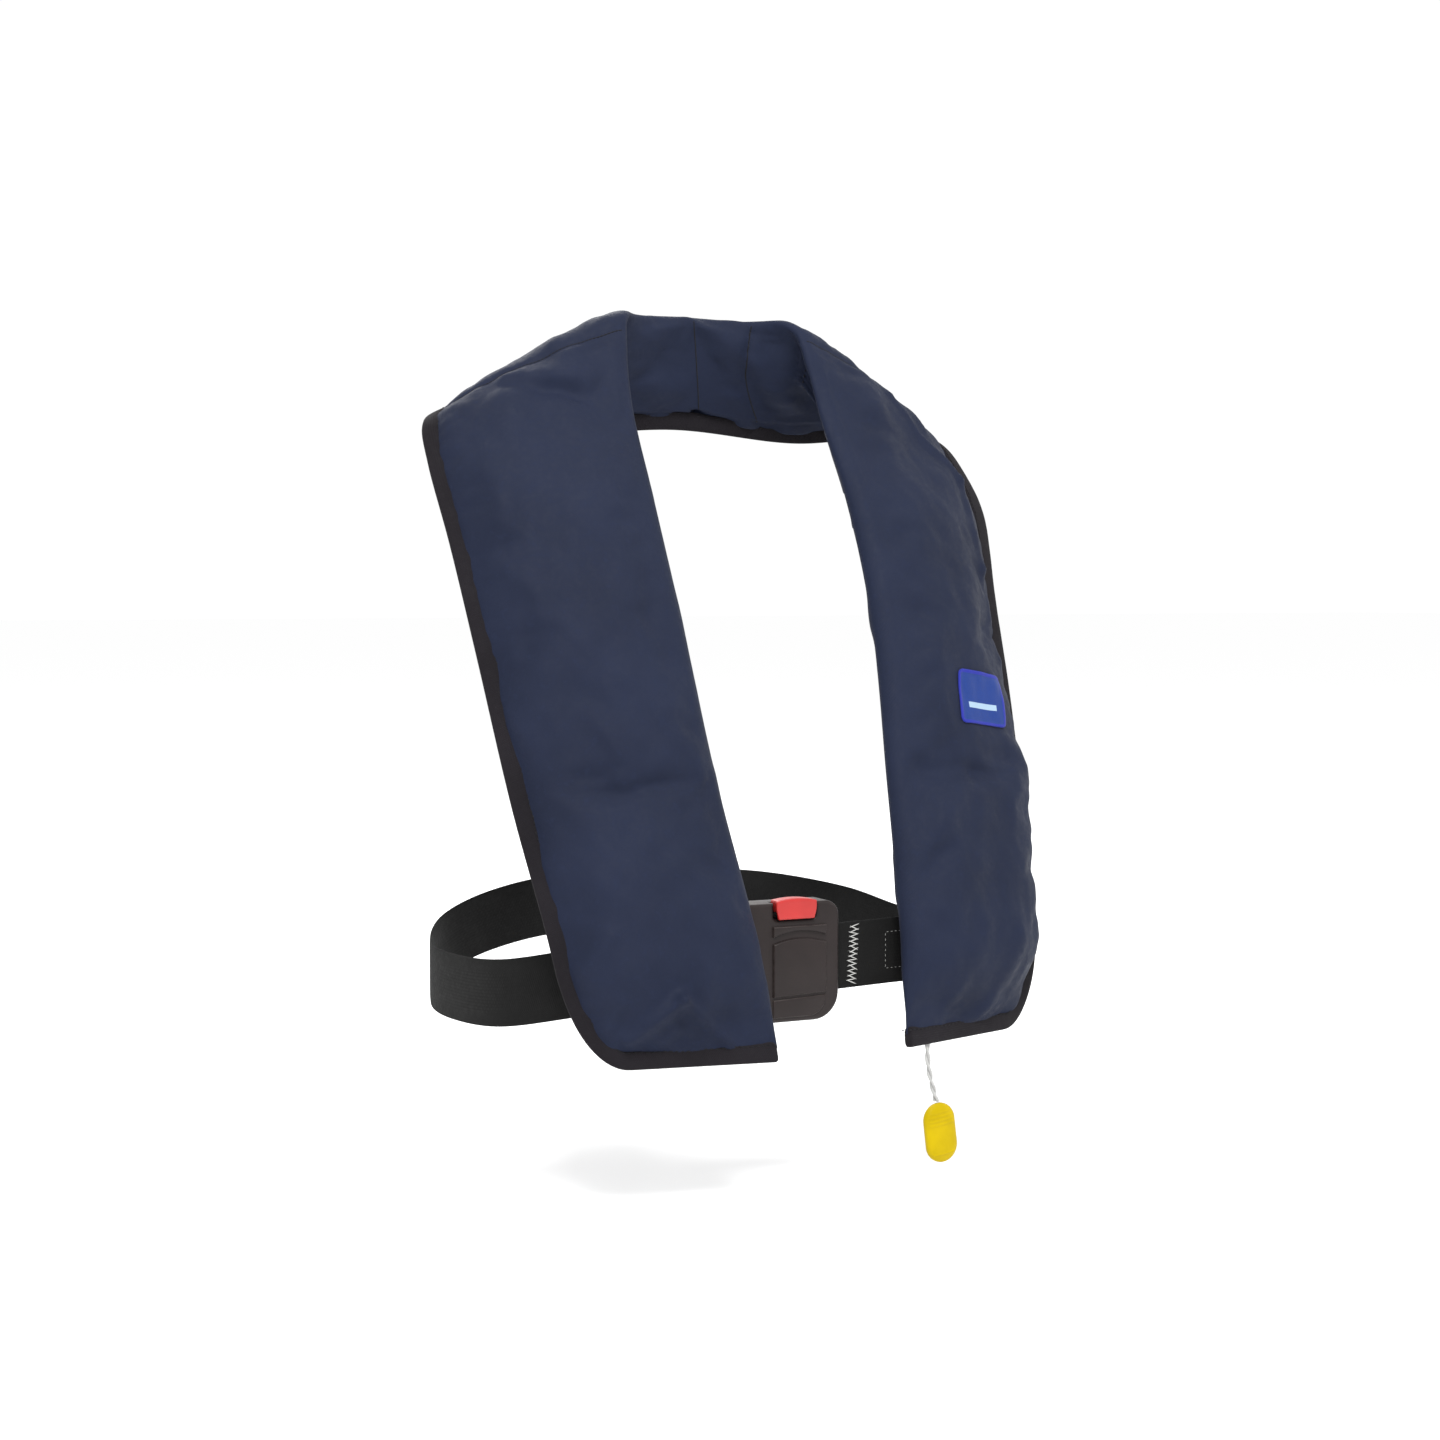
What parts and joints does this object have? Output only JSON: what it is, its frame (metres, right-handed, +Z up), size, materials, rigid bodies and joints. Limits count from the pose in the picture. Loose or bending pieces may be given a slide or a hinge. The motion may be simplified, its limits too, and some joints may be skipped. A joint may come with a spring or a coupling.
{
  "type": "inflatable life jacket",
  "caption": "Horseshoe inflatable life jacket in worn pose: padded navy yoke with black edge tape, folded bladder, gas firing head, pull cord and a press-button waist belt.",
  "frame": {"origin": "between the two neck corners of the yoke, level with the shoulder ridge, where the jacket rests on the wearer's neck and shoulders", "axes": "+Z up; the wearer faces -Y; +X is the wearer's left"},
  "size_m": [0.404, 0.3141, 0.5427],
  "materials": {
    "navy_nylon": "plain woven nylon, slight sheen",
    "black_binding": "woven edge tape",
    "closure_tape": "hook and loop",
    "black_webbing": "ribbed polyester webbing",
    "blue_patch": "embroidered badge",
    "bladder_yellow": "coated nylon",
    "black_plastic": "moulded",
    "black_rubber": "smooth",
    "yellow_plastic": "moulded, soft gloss",
    "steel": "stainless",
    "zinc_steel": "zinc plated",
    "red_plastic": "moulded",
    "white_cord": "braided cord",
    "buckle_plastic": "moulded, dark brown grey"
  },
  "bodies": {
    "jacket": {"left_front_cover": "navy_nylon", "left_back_cover": "navy_nylon", "right_front_cover": "navy_nylon", "right_back_cover": "navy_nylon", "collar_outer_cover": "navy_nylon", "collar_lining": "navy_nylon", "left_rim_binding": "black_binding", "right_rim_binding": "black_binding", "collar_binding": "black_binding", "left_hem_binding": "black_binding", "right_hem_binding": "black_binding", "left_hook_strip": "closure_tape", "left_loop_strip": "closure_tape", "right_hook_strip": "closure_tape", "right_loop_strip": "closure_tape", "left_belt_loop": "black_webbing", "right_belt_loop": "black_webbing", "waist_webbing": "black_webbing", "housing_loop": "black_webbing", "front_patch": "blue_patch", "left_bladder": "bladder_yellow", "right_bladder": "bladder_yellow", "collar_bladder": "bladder_yellow", "firing_head": "black_plastic", "manifold_stem": "black_plastic", "manifold_nut": "black_plastic", "oral_valve_body": "black_plastic", "oral_tube": "black_rubber", "whistle": "yellow_plastic", "lever_pin": "steel", "button_spring": "steel", "buckle_screw_1": "steel", "buckle_screw_2": "steel", "buckle_screw_3": "steel", "buckle_screw_4": "steel", "safety_clip": "red_plastic", "buckle_front_shell": "buckle_plastic", "buckle_back_shell": "buckle_plastic"},
    "gas_cylinder_body": {"gas_cylinder": "zinc_steel"},
    "firing_lever_body": {"firing_lever": "yellow_plastic"},
    "piercing_pin_body": {"piercing_pin": "steel"},
    "pull_handle_body": {"pull_handle": "yellow_plastic", "pull_cord_outer": "white_cord", "pull_cord_inner": "white_cord"},
    "release_button_body": {"release_button": "red_plastic"},
    "latch_body": {"latch": "steel"},
    "tongue_body": {"tongue_plate": "steel", "tongue_grip": "buckle_plastic", "tongue_webbing": "black_webbing"},
    "oral_cap_body": {"oral_cap": "black_plastic"},
    "oral_plunger_body": {"oral_valve_plunger": "red_plastic"}
  },
  "joints": [
    {"name": "release_button_press", "type": "slide", "parent": "jacket", "child": "release_button_body", "axis": [0, 0, -1], "range_m": [0, 0.004], "stiffness_N_per_m": 400, "deforming": ["button_spring"]},
    {"name": "latch_slide", "type": "slide", "parent": "jacket", "child": "latch_body", "axis": [-0.0698, -0.9976, 0], "range_m": [0, 0.003]},
    {"name": "tongue_slide", "type": "slide", "parent": "jacket", "child": "tongue_body", "axis": [-0.9976, 0.0698, 0], "range_m": [0, 0.014]},
    {"name": "pull_handle_slide", "type": "slide", "parent": "jacket", "child": "pull_handle_body", "axis": [-0.2183, -0.2076, -0.9535], "range_m": [0, 0.025]},
    {"name": "firing_lever_hinge", "type": "hinge", "parent": "jacket", "child": "firing_lever_body", "pos_m": [0.11014, -0.15004, -0.37261], "axis": [0.2276, -0.9254, 0.303], "range_deg": [0, 62]},
    {"name": "piercing_pin_slide", "type": "slide", "parent": "jacket", "child": "piercing_pin_body", "axis": [0.0102, 0.3134, 0.9496], "range_m": [0, 0.0016]},
    {"name": "gas_cylinder_turn", "type": "hinge", "parent": "jacket", "child": "gas_cylinder_body", "pos_m": [0.11552, -0.1333, -0.32553], "axis": [0.0102, 0.3134, 0.9496], "continuous": true},
    {"name": "oral_cap_slide", "type": "slide", "parent": "jacket", "child": "oral_cap_body", "axis": [-0.0787, 0.3658, 0.9274], "range_m": [0, 0.008]},
    {"name": "oral_plunger_press", "type": "slide", "parent": "jacket", "child": "oral_plunger_body", "axis": [0.0787, -0.3658, -0.9274], "range_m": [0, 0.0025], "stiffness_N_per_m": 200}
  ],
  "couplings": [
    {"joint": "latch_slide", "follows": "release_button_press", "ratio": 0.75},
    {"joint": "firing_lever_hinge", "follows": "pull_handle_slide", "rad_per_m": 41.8},
    {"joint": "piercing_pin_slide", "follows": "pull_handle_slide", "ratio": 0.064}
  ]
}
